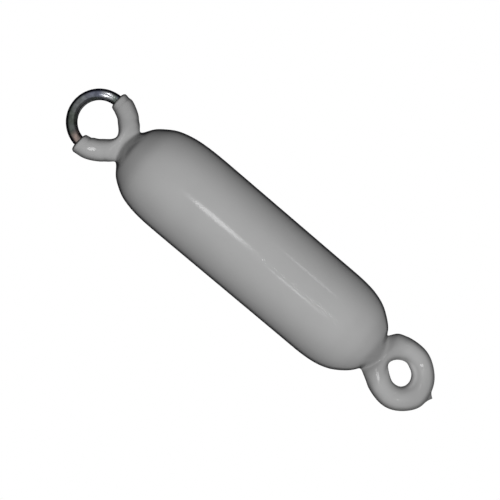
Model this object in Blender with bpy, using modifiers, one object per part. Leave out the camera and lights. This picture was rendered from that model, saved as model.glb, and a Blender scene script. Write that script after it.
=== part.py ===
"""A small boat fender: a steel rod with an eye at each end, a foam core and a thick dipped vinyl coat.

Metres, +Z up. The fender hangs as it is used, with the bare steel eye on top. The origin is the centre of
that eye, and both eyes lie in the XZ plane.
"""
import math
from dataclasses import dataclass

import bmesh
import bpy
from mathutils import Vector

# Rod
ROD_DIAMETER = 0.010
SHANK_BEND_RADIUS = 0.018

# Upper eye, bare steel above the dip line
UPPER_EYE_RADIUS = 0.02385
UPPER_EYE_RISE = 0.0300
UPPER_LEG_ANGLE = math.radians(38.5)
UPPER_LEFT_BOW = 0.0002
UPPER_RIGHT_BOW = 0.0011

# Lower eye, coated all over
LOWER_EYE_RADIUS = 0.0200
LOWER_EYE_DROP = 0.0213
LOWER_LEG_ANGLE = math.radians(23)
LOWER_EYE_LEAN = math.radians(-5.2)
LOWER_LEFT_BOW = 0.0004
LOWER_RIGHT_BOW = 0.0017

# Where the hand-bent legs bow outwards, below the middle of each eye
BOW_PLACE = 0.0130
BOW_REACH = 0.0082

# Body, a little slimmer at its lower end
UPPER_BODY_DIAMETER = 0.0850
LOWER_BODY_DIAMETER = 0.0834
BODY_LENGTH = 0.2856
BODY_OFFSET = 0.0017
UPPER_DOME_LENGTH = 0.0788
UPPER_DOME_SHOULDER = 3.56
UPPER_DOME_POINT = 1.84
LOWER_DOME_LENGTH = 0.0782
LOWER_DOME_SHOULDER = 3.82
LOWER_DOME_POINT = 1.18
CORE_END_RADIUS = 0.012

# Coat, thicker on the left leg and at the lower eye, where it ran down
CLEARANCE = 0.0003
COAT_THICKNESS = 0.0043
LEFT_LEG_COAT = 0.0044
RIGHT_LEG_COAT = 0.0039
LEFT_LIP_COAT = 0.0040
LEFT_LIP_SHIFT = 0.0007
RIGHT_LIP_COAT = 0.0032
RIGHT_LIP_SHIFT = 0.0005
LOWER_EYE_COAT = 0.0049
DIP_LINE_HEIGHT = 0.0015
DIP_LINE_TILT = math.radians(-3.1)
LIP_ROUNDING = 0.0025
LIP_REACH = 0.0060

# Necks, and the webs between the legs
UPPER_NECK_OFFSET = -0.0007
UPPER_PARTING = 0.0122
LOWER_PARTING = 0.0127
UPPER_WEB_HEIGHT = 0.0037
LOWER_WEB_HEIGHT = 0.0108
LOWER_WEB_FILLET = 0.0013
UPPER_WEB_DROP = 0.0026
WEB_HALF_THICKNESS = 0.0092
UPPER_WAIST_WIDTH = 0.0338
LOWER_WAIST_WIDTH = 0.0372
WAIST_DEPTH = 0.0212
UPPER_WAIST_RISE = 0.0015
LOWER_WAIST_RISE = 0.0006

# Drip left at the lowest point of the coat
DRIP_LENGTH = 0.0040
DRIP_FOOT_RADIUS = 0.0055
DRIP_TIP_RADIUS = 0.0010
DRIP_OFFSET = 0.0045

# Fineness of the surfaces
ROD_BEVEL_RESOLUTION = 4
ARC_STEP = math.radians(9)
BODY_SIDES = 8
EYE_SIDES = 6
ROUND_SECTIONS = 8
TURNED_STEPS = 24
DOME_STEPS = 9
DOME_RING_SHARES = (0.53, 0.68, 0.84, 0.95, 1.0)
DRIP_STEPS = 6
SMOOTH_LEVELS = 2
CAGE_FIT_ROUNDS = 24

BORE_RADIUS = ROD_DIAMETER / 2 + CLEARANCE
BODY_TOP = -UPPER_EYE_RISE
BODY_BOTTOM = BODY_TOP - BODY_LENGTH


@dataclass(frozen=True)
class Dome:
    """One rounded end of the body, which rises outwards from where the straight part stops."""

    start: float
    outwards: int
    radius: float
    length: float
    shoulder: float
    point: float

    def height(self, fraction, inset=0.0):
        """Height of the dome where its radius is this share of the full one."""
        share = (1 - fraction ** self.point) ** (1 / self.shoulder)
        return self.start + self.outwards * (self.length - inset) * share


@dataclass(frozen=True)
class Eye:
    """One eye of the rod, in its own plane: sideways from its centre, and outwards, away from the body."""

    centre_x: float
    centre_z: float
    neck_x: float
    outwards: int
    radius: float
    leg_angle: float
    lean: float
    left_bow: float
    right_bow: float
    tip_side: int
    left_coat: float
    right_coat: float

    def bow(self, sideways, away):
        """How far a leg stands out from its true line at a point of the eye's plane."""
        most = self.right_bow if sideways > 0 else -self.left_bow
        share = min(abs(sideways) / (self.radius / 2), 1.0)
        return most * share * math.exp(-((away + BOW_PLACE) / BOW_REACH) ** 2)

    def place(self, sideways, away):
        """A point of the eye's plane, moved over by the eye's lean and its legs' bow."""
        x = self.centre_x + sideways + away * math.tan(self.lean) + self.bow(sideways, away)
        return Vector((x, 0.0, self.centre_z + self.outwards * away))

    def sleeve_radius(self, side):
        """Outer radius of the coat on one leg: side 1 is the right one."""
        return BORE_RADIUS + (self.right_coat if side > 0 else self.left_coat)

    def mean_sleeve_radius(self):
        """Outer radius of the coat halfway between the two legs."""
        return (self.sleeve_radius(1) + self.sleeve_radius(-1)) / 2

    def tangent_turn(self):
        """Angle from the outward direction to where a leg leaves the round of the eye."""
        return math.pi / 2 + self.leg_angle

    def crossing(self):
        """Where the line of a leg meets the axis of the eye, measured outwards."""
        return -self.radius / math.sin(self.leg_angle)

    def on_round(self, turn):
        """A point of the round part, at an angle from the outward direction, on the right side."""
        return self.radius * math.sin(turn), self.radius * math.cos(turn)

    def on_leg(self, run):
        """A point of the right leg's straight line, at a distance past the round part."""
        sideways, away = self.on_round(self.tangent_turn())
        return sideways - run * math.sin(self.leg_angle), away - run * math.cos(self.leg_angle)

    def leg_run(self, sideways):
        """Distance along the leg, past the round part, at which its line is this far from the axis."""
        start, _ = self.on_round(self.tangent_turn())
        return (start - sideways) / math.sin(self.leg_angle)


UPPER_DOME = Dome(
    start=BODY_TOP - UPPER_DOME_LENGTH,
    outwards=1,
    radius=UPPER_BODY_DIAMETER / 2,
    length=UPPER_DOME_LENGTH,
    shoulder=UPPER_DOME_SHOULDER,
    point=UPPER_DOME_POINT,
)
LOWER_DOME = Dome(
    start=BODY_BOTTOM + LOWER_DOME_LENGTH,
    outwards=-1,
    radius=LOWER_BODY_DIAMETER / 2,
    length=LOWER_DOME_LENGTH,
    shoulder=LOWER_DOME_SHOULDER,
    point=LOWER_DOME_POINT,
)
UPPER_EYE = Eye(
    centre_x=0.0,
    centre_z=0.0,
    neck_x=UPPER_NECK_OFFSET,
    outwards=1,
    radius=UPPER_EYE_RADIUS,
    leg_angle=UPPER_LEG_ANGLE,
    lean=0.0,
    left_bow=UPPER_LEFT_BOW,
    right_bow=UPPER_RIGHT_BOW,
    tip_side=-1,
    left_coat=LEFT_LEG_COAT,
    right_coat=RIGHT_LEG_COAT,
)
LOWER_EYE = Eye(
    centre_x=BODY_OFFSET,
    centre_z=BODY_BOTTOM - LOWER_EYE_DROP,
    neck_x=BODY_OFFSET,
    outwards=-1,
    radius=LOWER_EYE_RADIUS,
    leg_angle=LOWER_LEG_ANGLE,
    lean=LOWER_EYE_LEAN,
    left_bow=LOWER_LEFT_BOW,
    right_bow=LOWER_RIGHT_BOW,
    tip_side=1,
    left_coat=LOWER_EYE_COAT,
    right_coat=LOWER_EYE_COAT,
)


def clear_scene():
    """Remove whatever the file holds."""
    for old in list(bpy.data.objects):
        bpy.data.objects.remove(old, do_unlink=True)


def make_collection(name):
    """A new collection of the scene."""
    collection = bpy.data.collections.new(name)
    bpy.context.scene.collection.children.link(collection)
    return collection


def make_material(name, colour, roughness, metallic=0.0):
    """A plain surface of one colour."""
    material = bpy.data.materials.new(name)
    material.use_nodes = True
    shader = material.node_tree.nodes["Principled BSDF"]
    shader.inputs["Base Color"].default_value = (*colour, 1.0)
    shader.inputs["Roughness"].default_value = roughness
    shader.inputs["Metallic"].default_value = metallic
    material.diffuse_color = (*colour, 1.0)
    return material


def add_object(name, data, collection, material=None):
    """Put a mesh or curve into a collection."""
    thing = bpy.data.objects.new(name, data)
    collection.objects.link(thing)
    if material:
        data.materials.append(material)
    return thing


def mark_as_cutter(thing):
    """Show a helper shape, which isn't part of the fender, as wires only."""
    thing.hide_render = True
    thing.display_type = "WIRE"


def add_boolean(thing, operation, cutter):
    """Cut a shape from another one, or join it to that one."""
    modifier = thing.modifiers.new(f"{operation} {cutter.name}", "BOOLEAN")
    modifier.operation = operation
    modifier.solver = "EXACT"
    modifier.object = cutter


def eye_route(eye, overrun):
    """Points along the rod in one eye, from past its free tip round the eye and down to the shank."""
    tip_sideways = CLEARANCE / 2 + ROD_DIAMETER / 2 * math.cos(eye.leg_angle)
    points = [eye.on_leg(eye.leg_run(tip_sideways) + overrun)]
    turn = eye.tangent_turn()
    steps = math.ceil(2 * turn / ARC_STEP)
    points += [eye.on_round(turn - 2 * turn * step / steps) for step in range(steps + 1)]
    bend_end = eye.crossing() - SHANK_BEND_RADIUS * math.tan(eye.leg_angle / 2)
    bend_steps = math.ceil(eye.leg_angle / ARC_STEP)
    for step in range(bend_steps + 1):
        angle = eye.leg_angle * (1 - step / bend_steps)
        sideways = SHANK_BEND_RADIUS * (1 - math.cos(angle))
        points.append((-sideways, bend_end + SHANK_BEND_RADIUS * math.sin(angle)))
    return [eye.place(eye.tip_side * sideways, away) for sideways, away in points]


def rod_curve(name, radius, overrun=0.0):
    """A round bar from tip to tip of the rod, or from past both tips, with closed ends."""
    route = eye_route(UPPER_EYE, overrun) + eye_route(LOWER_EYE, overrun)[::-1]
    curve = bpy.data.curves.new(name, "CURVE")
    curve.dimensions = "3D"
    curve.bevel_depth = radius
    curve.bevel_resolution = ROD_BEVEL_RESOLUTION
    curve.use_fill_caps = True
    spline = curve.splines.new("POLY")
    spline.points.add(len(route) - 1)
    for knot, place in zip(spline.points, route):
        knot.co = (*place, 1.0)
        knot.radius = 1.0
    spline.use_smooth = True
    return curve


def curve_as_mesh(curve, collection):
    """The closed mesh of a curve, with its caps welded on."""
    thing = add_object(curve.name, curve, collection)
    evaluated = thing.evaluated_get(bpy.context.evaluated_depsgraph_get())
    mesh = bpy.data.meshes.new_from_object(evaluated)
    bpy.data.objects.remove(thing, do_unlink=True)
    shape = bmesh.new()
    shape.from_mesh(mesh)
    bmesh.ops.remove_doubles(shape, verts=shape.verts, dist=1e-5)
    bmesh.ops.recalc_face_normals(shape, faces=shape.faces)
    shape.to_mesh(mesh)
    shape.free()
    return mesh


def turned_object(name, outline, collection, material=None):
    """A solid turned round Z from an outline that runs down its outer side."""
    mesh = bpy.data.meshes.new(name)
    points = [(radius, 0.0, height) for radius, height in outline]
    edges = [(index, index + 1) for index in range(len(points) - 1)]
    mesh.from_pydata(points, edges, [])
    thing = add_object(name, mesh, collection, material)
    screw = thing.modifiers.new("Turn", "SCREW")
    screw.steps = TURNED_STEPS
    screw.render_steps = TURNED_STEPS
    screw.use_merge_vertices = True
    screw.merge_threshold = 0.00001
    screw.use_smooth_shade = True
    return thing


def dome_outline(dome, inset):
    """Radius and height along a dome, from its flat end out to its full radius."""
    radius = dome.radius - inset
    first = math.asin(CORE_END_RADIUS / radius)
    outline = []
    for step in range(DOME_STEPS + 1):
        fraction = math.sin(first + (math.pi / 2 - first) * step / DOME_STEPS)
        outline.append((radius * fraction, dome.height(fraction, inset)))
    return [(0.0, outline[0][1])] + outline


def core_outline(inset):
    """Radius and height down the side of the core, at a distance inside the coat's outer surface."""
    return dome_outline(UPPER_DOME, inset) + dome_outline(LOWER_DOME, inset)[::-1]


def eye_section(eye, side, at, turn, radius):
    """Ring of cage points round a leg or the round part, the first one on the eye's inner side."""
    centre = eye.place(side * at[0], at[1])
    ring = []
    for corner in range(EYE_SIDES):
        angle = 2 * math.pi * corner / EYE_SIDES
        inset = radius * math.cos(angle)
        offset = Vector((-side * inset * math.sin(turn), radius * math.sin(angle),
                         -eye.outwards * inset * math.cos(turn)))
        ring.append(centre + offset)
    return ring


def leg_section(eye, side, run, fillet=0.0):
    """Cage ring round a straight leg, its inner point filled out towards the web."""
    ring = eye_section(eye, side, eye.on_leg(run), eye.tangent_turn(), eye.sleeve_radius(side))
    ring[0].x -= side * fillet
    return ring


def round_section(eye, side, turn):
    """Cage ring round the round part of an eye."""
    return eye_section(eye, side, eye.on_round(turn), turn, eye.sleeve_radius(side))


def dip_line(x):
    """Height at which the coat ends, over a point of the X axis."""
    return DIP_LINE_HEIGHT + x * math.tan(DIP_LINE_TILT)


def sleeve_end_section(side, below, radius, shift):
    """Cage ring of a sleeve end, level with the dip line or below it, its middle a little outside the rod's."""
    height = dip_line(side * UPPER_EYE.radius) - below
    centre_x = side * (math.sqrt(UPPER_EYE.radius ** 2 - height ** 2) + shift)
    ring = []
    for corner in range(EYE_SIDES):
        angle = 2 * math.pi * corner / EYE_SIDES
        x = centre_x - side * radius * math.cos(angle)
        ring.append(Vector((x, radius * math.sin(angle), dip_line(x) - below)))
    return ring


def add_ring(cage, points):
    """Vertices of one cage ring."""
    return [cage.verts.new(point) for point in points]


def bridge(cage, first, second):
    """Quads between two closed cage rings with as many points."""
    count = len(first)
    for index in range(count):
        following = (index + 1) % count
        cage.faces.new((first[index], first[following], second[following], second[index]))


def body_section(centre_x, radius_x, radius_y, heights):
    """Ring of cage points round the body, the first one at +X, with the height of each point."""
    ring = []
    for corner in range(BODY_SIDES):
        angle = 2 * math.pi * corner / BODY_SIDES
        x = centre_x + radius_x * math.cos(angle)
        ring.append(Vector((x, radius_y * math.sin(angle), heights[corner])))
    return ring


def waist_section(dome, eye, width, rise):
    """Cage ring of a neck, standing a little proud of the dome."""
    heights = []
    for corner in range(BODY_SIDES):
        angle = 2 * math.pi * corner / BODY_SIDES
        radius = math.hypot(width / 2 * math.cos(angle), WAIST_DEPTH / 2 * math.sin(angle))
        heights.append(dome.height(radius / dome.radius) + dome.outwards * rise)
    return body_section(eye.neck_x, width / 2, WAIST_DEPTH / 2, heights)


def dome_section(dome, eye, fraction):
    """Cage ring of a dome, which leans over to its eye towards the neck."""
    height = dome.height(fraction)
    climb = (height - dome.start) / (dome.outwards * dome.length)
    centre_x = BODY_OFFSET + (eye.neck_x - BODY_OFFSET) * climb ** 2
    radius = dome.radius * fraction
    return body_section(centre_x, radius, radius, [height] * BODY_SIDES)


def split_ring(cage, eye, parting, web_height, web_drop=0.0):
    """Cage points where a neck parts into two legs: the neck's ring and the point of the web between them."""
    run = eye.leg_run(parting)
    right = leg_section(eye, 1, run)
    left = leg_section(eye, -1, run)
    middle = (right[1] + left[1]) / 2
    height = middle.z - eye.outwards * web_drop
    back = Vector((middle.x, WEB_HALF_THICKNESS, height))
    front = Vector((middle.x, -WEB_HALF_THICKNESS, height))
    ring = add_ring(cage, [right[3], right[2], back, left[2], left[3], left[4], front, right[4]])
    inner_crossing = eye.crossing() + eye.mean_sleeve_radius() / math.sin(eye.leg_angle)
    web = cage.verts.new(eye.place(0.0, inner_crossing + web_height))
    return ring, web


def leg_bases(ring, web):
    """The right and left halves of a parted neck ring, each closed by the web's point."""
    right = [web, ring[2], ring[1], ring[0], ring[7], ring[6]]
    left = [web, ring[2], ring[3], ring[4], ring[5], ring[6]]
    return right, left


def body_rings():
    """Cage rings of the body between its two waists, from top to bottom."""
    rings = [waist_section(UPPER_DOME, UPPER_EYE, UPPER_WAIST_WIDTH, UPPER_WAIST_RISE)]
    for fraction in DOME_RING_SHARES:
        rings.append(dome_section(UPPER_DOME, UPPER_EYE, fraction))
    middle = (UPPER_DOME.start + LOWER_DOME.start) / 2
    middle_radius = (UPPER_DOME.radius + LOWER_DOME.radius) / 2
    rings.append(body_section(BODY_OFFSET, middle_radius, middle_radius, [middle] * BODY_SIDES))
    for fraction in reversed(DOME_RING_SHARES):
        rings.append(dome_section(LOWER_DOME, LOWER_EYE, fraction))
    rings.append(waist_section(LOWER_DOME, LOWER_EYE, LOWER_WAIST_WIDTH, LOWER_WAIST_RISE))
    return rings


def add_body_cage(cage):
    """The body's cage rings, bridged."""
    rings = [add_ring(cage, ring) for ring in body_rings()]
    for first, second in zip(rings, rings[1:]):
        bridge(cage, first, second)
    return rings[0], rings[-1]


def add_tube(cage, base, sections):
    """Cage rings of a tube that starts from a base, bridged one after another."""
    last = base
    for section in sections:
        following = add_ring(cage, section)
        bridge(cage, last, following)
        last = following
    return last


def add_upper_sleeves(cage, waist):
    """The two coated legs of the upper eye, up to the dip line."""
    eye = UPPER_EYE
    ring, web = split_ring(cage, eye, UPPER_PARTING, UPPER_WEB_HEIGHT, UPPER_WEB_DROP)
    bridge(cage, waist, ring)
    right_base, left_base = leg_bases(ring, web)
    right_lip = (1, right_base, RIGHT_LIP_COAT, RIGHT_LIP_SHIFT)
    left_lip = (-1, left_base, LEFT_LIP_COAT, LEFT_LIP_SHIFT)
    corner = LIP_ROUNDING * (1 - math.cos(math.pi / 4))
    for side, base, coat, shift in (right_lip, left_lip):
        radius = BORE_RADIUS + coat
        sections = [
            leg_section(eye, side, eye.leg_run(UPPER_PARTING) / 2),
            round_section(eye, side, eye.tangent_turn()),
            round_section(eye, side, (eye.tangent_turn() + math.pi / 2) / 2),
            sleeve_end_section(side, LIP_REACH, (eye.sleeve_radius(side) + radius) / 2, shift / 2),
            sleeve_end_section(side, LIP_ROUNDING, radius, shift),
            sleeve_end_section(side, corner, radius - corner, shift),
            sleeve_end_section(side, 0.0, radius - LIP_ROUNDING, shift),
            sleeve_end_section(side, 0.0, ROD_DIAMETER / 4, 0.0),
        ]
        cage.faces.new(add_tube(cage, base, sections))


def add_lower_eye(cage, waist):
    """The lower eye's coat, closed all the way round."""
    eye = LOWER_EYE
    ring, web = split_ring(cage, eye, LOWER_PARTING, LOWER_WEB_HEIGHT)
    bridge(cage, waist, ring)
    right, left = leg_bases(ring, web)
    half_leg = eye.leg_run(LOWER_PARTING) / 2
    turn = eye.tangent_turn()
    turns = [turn - 2 * turn * step / ROUND_SECTIONS for step in range(ROUND_SECTIONS + 1)]
    sections = [leg_section(eye, 1, half_leg, LOWER_WEB_FILLET)]
    sections += [round_section(eye, 1, turn) for turn in turns]
    sections.append(leg_section(eye, -1, half_leg, LOWER_WEB_FILLET))
    bridge(cage, add_tube(cage, right, sections), left)


def smooth_position(vertex):
    """Where the smooth surface lies over a cage vertex that only quads meet."""
    count = len(vertex.link_edges)
    total = vertex.co * count ** 2
    for edge in vertex.link_edges:
        total += 4 * edge.other_vert(vertex).co
    for face in vertex.link_faces:
        opposite = (list(face.verts).index(vertex) + 2) % 4
        total += face.verts[opposite].co
    return total / (count * (count + 5))


def fit_cage(cage):
    """Move the cage out until its smooth surface runs through the places where its vertices were put."""
    wanted = {vertex: vertex.co.copy() for vertex in cage.verts
              if all(len(face.verts) == 4 for face in vertex.link_faces)}
    for _ in range(CAGE_FIT_ROUNDS):
        moves = {vertex: place - smooth_position(vertex) for vertex, place in wanted.items()}
        for vertex, move in moves.items():
            vertex.co += move


def coat_cage():
    """The coarse cage of the whole coat, as one closed mesh."""
    cage = bmesh.new()
    upper_waist, lower_waist = add_body_cage(cage)
    add_upper_sleeves(cage, upper_waist)
    add_lower_eye(cage, lower_waist)
    bmesh.ops.recalc_face_normals(cage, faces=cage.faces)
    fit_cage(cage)
    mesh = bpy.data.meshes.new("vinyl_coat")
    cage.to_mesh(mesh)
    cage.free()
    mesh.shade_smooth()
    return mesh


def drip_outline():
    """Radius and height down the side of the drip, from inside the lower eye to its tip."""
    root = LOWER_EYE_COAT / 2
    flare = root / 2
    flank_end = -DRIP_LENGTH + DRIP_TIP_RADIUS / 2
    outline = [(0.0, root), (DRIP_FOOT_RADIUS, root)]
    for step in range(1, DRIP_STEPS + 1):
        share = step / DRIP_STEPS
        radius = DRIP_TIP_RADIUS + (DRIP_FOOT_RADIUS - DRIP_TIP_RADIUS) * (1 - share) ** 2
        outline.append((radius, flare + (flank_end - flare) * share))
    outline.append((0.0, -DRIP_LENGTH))
    return outline


def build_drip(cutters):
    """The drip, as a helper that is joined to the coat at its lowest point."""
    drip = turned_object("drip", drip_outline(), cutters)
    mark_as_cutter(drip)
    reach = LOWER_EYE_RADIUS + LOWER_EYE.sleeve_radius(1)
    drip.location = LOWER_EYE.place(DRIP_OFFSET, math.sqrt(reach ** 2 - DRIP_OFFSET ** 2))
    return drip


def build_hollow(cutters):
    """The room for the core, as a cutter."""
    hollow = turned_object("core_hollow", core_outline(COAT_THICKNESS), cutters)
    mark_as_cutter(hollow)
    hollow.location.x = BODY_OFFSET
    return hollow


def build_bore(cutters):
    """The room for the rod, as a cutter that goes a little past both of its tips."""
    room = rod_curve("rod_bore", BORE_RADIUS, CLEARANCE)
    bore = add_object("rod_bore", curve_as_mesh(room, cutters), cutters)
    mark_as_cutter(bore)
    return bore


def build_coat(parts, drip, hollow, bore, material):
    """The dipped vinyl coat, hollow where the core and the rod lie."""
    coat = add_object("vinyl_coat", coat_cage(), parts, material)
    smooth = coat.modifiers.new("Smooth", "SUBSURF")
    smooth.levels = SMOOTH_LEVELS
    smooth.render_levels = SMOOTH_LEVELS
    add_boolean(coat, "UNION", drip)
    add_boolean(coat, "DIFFERENCE", hollow)
    add_boolean(coat, "DIFFERENCE", bore)


def build_core(parts, bore, material):
    """The foam core, with a channel for the rod."""
    core = turned_object("foam_core", core_outline(COAT_THICKNESS + CLEARANCE), parts, material)
    core.location.x = BODY_OFFSET
    add_boolean(core, "DIFFERENCE", bore)


def build_rod(parts, material):
    """The steel rod with its two eyes."""
    add_object("eye_rod", rod_curve("eye_rod", ROD_DIAMETER / 2), parts, material)


def main():
    """Build the fender."""
    clear_scene()
    parts = make_collection("boat_fender")
    cutters = make_collection("cutters")
    vinyl = make_material("grey_vinyl", (0.36, 0.36, 0.36), 0.28)
    steel = make_material("bright_steel", (0.55, 0.57, 0.58), 0.12, 1.0)
    foam = make_material("closed_cell_foam", (0.85, 0.84, 0.80), 0.9)
    bore = build_bore(cutters)
    build_coat(parts, build_drip(cutters), build_hollow(cutters), bore, vinyl)
    build_core(parts, bore, foam)
    build_rod(parts, steel)


main()
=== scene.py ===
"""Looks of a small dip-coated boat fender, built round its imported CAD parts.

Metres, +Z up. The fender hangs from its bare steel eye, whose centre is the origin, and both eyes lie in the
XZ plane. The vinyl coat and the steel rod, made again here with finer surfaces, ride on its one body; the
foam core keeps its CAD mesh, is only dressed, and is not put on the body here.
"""
import logging
import math
from collections.abc import Iterable, Sequence
from dataclasses import dataclass, field
from enum import Enum

import bmesh
import bpy
import numpy as np
from mathutils import Matrix, Quaternion, Vector

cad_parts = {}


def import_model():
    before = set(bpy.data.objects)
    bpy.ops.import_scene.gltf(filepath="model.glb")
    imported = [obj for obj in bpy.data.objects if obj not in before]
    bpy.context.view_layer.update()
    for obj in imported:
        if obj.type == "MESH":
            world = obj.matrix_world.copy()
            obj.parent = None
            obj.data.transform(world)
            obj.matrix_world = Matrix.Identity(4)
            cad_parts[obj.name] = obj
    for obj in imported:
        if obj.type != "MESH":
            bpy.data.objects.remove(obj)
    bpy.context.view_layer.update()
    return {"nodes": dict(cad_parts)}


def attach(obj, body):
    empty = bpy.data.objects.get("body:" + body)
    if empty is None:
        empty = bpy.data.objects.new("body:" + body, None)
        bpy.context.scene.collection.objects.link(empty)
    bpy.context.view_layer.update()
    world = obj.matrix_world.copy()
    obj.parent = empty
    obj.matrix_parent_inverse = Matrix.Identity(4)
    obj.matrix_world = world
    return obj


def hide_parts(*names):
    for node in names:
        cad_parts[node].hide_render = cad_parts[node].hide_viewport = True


LOG = logging.getLogger("boat_fender")
BODY = "root"
SKIN = "vinyl_skin"
ROD = "steel_rod"

NOISE_RANGE = (0.3, 0.7)  # where most of a noise texture's values lie

Ring = list[Vector]
Colour = tuple[float, float, float]
Place = tuple[float, float, float]
Range = tuple[float, float]
Stops = tuple[tuple[float, float], ...]
Mesh = bpy.types.Mesh
Socket = bpy.types.NodeSocket
Outputs = bpy.types.NodeOutputs
CageRing = list[bmesh.types.BMVert]


class Side(Enum):
    """The two sides of an eye, seen from the front."""

    RIGHT = 1
    LEFT = -1


class Slot(Enum):
    """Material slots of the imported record."""

    VINYL = "grey_vinyl"
    STEEL = "bright_steel"
    FOAM = "closed_cell_foam"


def grey(level: float) -> Colour:
    """A neutral colour of one level."""
    return (level, level, level)


@dataclass(frozen=True)
class RodSizes:
    """Sizes of the steel rod and of the room that it needs."""

    diameter: float = 0.010
    shank_bend_radius: float = 0.018
    clearance: float = 0.0003

    @property
    def radius(self) -> float:
        """Radius of the rod."""
        return self.diameter / 2

    @property
    def bore_radius(self) -> float:
        """Radius of the room for the rod."""
        return self.radius + self.clearance


@dataclass(frozen=True)
class Dome:
    """One rounded end of the body, which rises outwards from where the straight part stops."""

    start: float
    outwards: int
    radius: float
    length: float
    shoulder: float
    point: float

    def height(self, fraction: float, inset: float = 0.0) -> float:
        """Height of the dome at one distance from its axis.

        Args:
            fraction: Distance from the axis as a share of the dome's full radius.
            inset: How far the wanted surface lies inside the outer one.

        Returns:
            Height in the fender's frame.
        """
        share = (1 - fraction ** self.point) ** (1 / self.shoulder)
        return self.start + self.outwards * (self.length - inset) * share

    def climb(self, heights: np.ndarray) -> np.ndarray:
        """How far up the dome heights lie, from 0 at its start to 1 at its tip."""
        return np.clip(self.outwards * (heights - self.start) / self.length, 0.0, 1.0)

    def fraction(self, heights: np.ndarray) -> np.ndarray:
        """Share of the full radius that the dome has at heights."""
        return (1 - self.climb(heights) ** self.shoulder) ** (1 / self.point)


@dataclass(frozen=True)
class Eye:
    """One eye of the rod, in its own plane: sideways from its centre, and outwards, away from the body."""

    centre_x: float
    centre_z: float
    neck_x: float
    outwards: int
    radius: float
    leg_angle: float
    lean: float
    left_bow: float
    right_bow: float
    bow_place: float
    bow_reach: float
    tip_side: Side
    left_coat: float
    right_coat: float
    rod: RodSizes

    def bow(self, sideways: float, away: float) -> float:
        """How far a leg stands out from its true line at a point of the eye's plane."""
        most = self.right_bow if sideways > 0 else -self.left_bow
        share = min(abs(sideways) / (self.radius / 2), 1.0)
        return most * share * math.exp(-((away + self.bow_place) / self.bow_reach) ** 2)

    def place(self, sideways: float, away: float) -> Vector:
        """A point of the eye's plane, moved over by the eye's lean and its legs' bow.

        Args:
            sideways: Distance to the right of the eye's centre.
            away: Distance from the eye's centre, away from the body.

        Returns:
            The point in the fender's frame.
        """
        x = self.centre_x + sideways + away * math.tan(self.lean) + self.bow(sideways, away)
        return Vector((x, 0.0, self.centre_z + self.outwards * away))

    def sleeve_radius(self, side: Side) -> float:
        """Outer radius of the coat on one leg."""
        coat = self.right_coat if side is Side.RIGHT else self.left_coat
        return self.rod.bore_radius + coat

    def mean_sleeve_radius(self) -> float:
        """Outer radius of the coat halfway between the two legs."""
        return (self.sleeve_radius(Side.RIGHT) + self.sleeve_radius(Side.LEFT)) / 2

    def tangent_turn(self) -> float:
        """Angle from the outward direction to where a leg leaves the round of the eye."""
        return math.pi / 2 + self.leg_angle

    def crossing(self) -> float:
        """Where the line of a leg meets the axis of the eye, measured outwards."""
        return -self.radius / math.sin(self.leg_angle)

    def on_round(self, turn: float) -> tuple[float, float]:
        """A point of the round part, at an angle from the outward direction, on the right side."""
        return self.radius * math.sin(turn), self.radius * math.cos(turn)

    def on_leg(self, run: float) -> tuple[float, float]:
        """A point of the right leg's straight line, at a distance past the round part."""
        sideways, away = self.on_round(self.tangent_turn())
        return sideways - run * math.sin(self.leg_angle), away - run * math.cos(self.leg_angle)

    def leg_run(self, sideways: float) -> float:
        """Distance along the leg, past the round part, at which its line is this far from the axis."""
        start, _ = self.on_round(self.tangent_turn())
        return (start - sideways) / math.sin(self.leg_angle)

    def rod_points(self, arc_step: float, overrun: float) -> Ring:
        """Points along the rod in this eye, from its free tip round the eye and down to the shank.

        Args:
            arc_step: Greatest angle between two points of an arc.
            overrun: How far the route goes on past the rod's tip.

        Returns:
            The points in the fender's frame.
        """
        rod = self.rod
        tip_sideways = rod.clearance / 2 + rod.radius * math.cos(self.leg_angle)
        points = [self.on_leg(self.leg_run(tip_sideways) + overrun)]
        turn = self.tangent_turn()
        steps = math.ceil(2 * turn / arc_step)
        points += [self.on_round(turn - 2 * turn * step / steps) for step in range(steps + 1)]
        bend_end = self.crossing() - rod.shank_bend_radius * math.tan(self.leg_angle / 2)
        bend_steps = math.ceil(self.leg_angle / arc_step)
        for step in range(bend_steps + 1):
            angle = self.leg_angle * (1 - step / bend_steps)
            sideways = rod.shank_bend_radius * (1 - math.cos(angle))
            points.append((-sideways, bend_end + rod.shank_bend_radius * math.sin(angle)))
        return [self.place(self.tip_side.value * sideways, away) for sideways, away in points]


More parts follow.
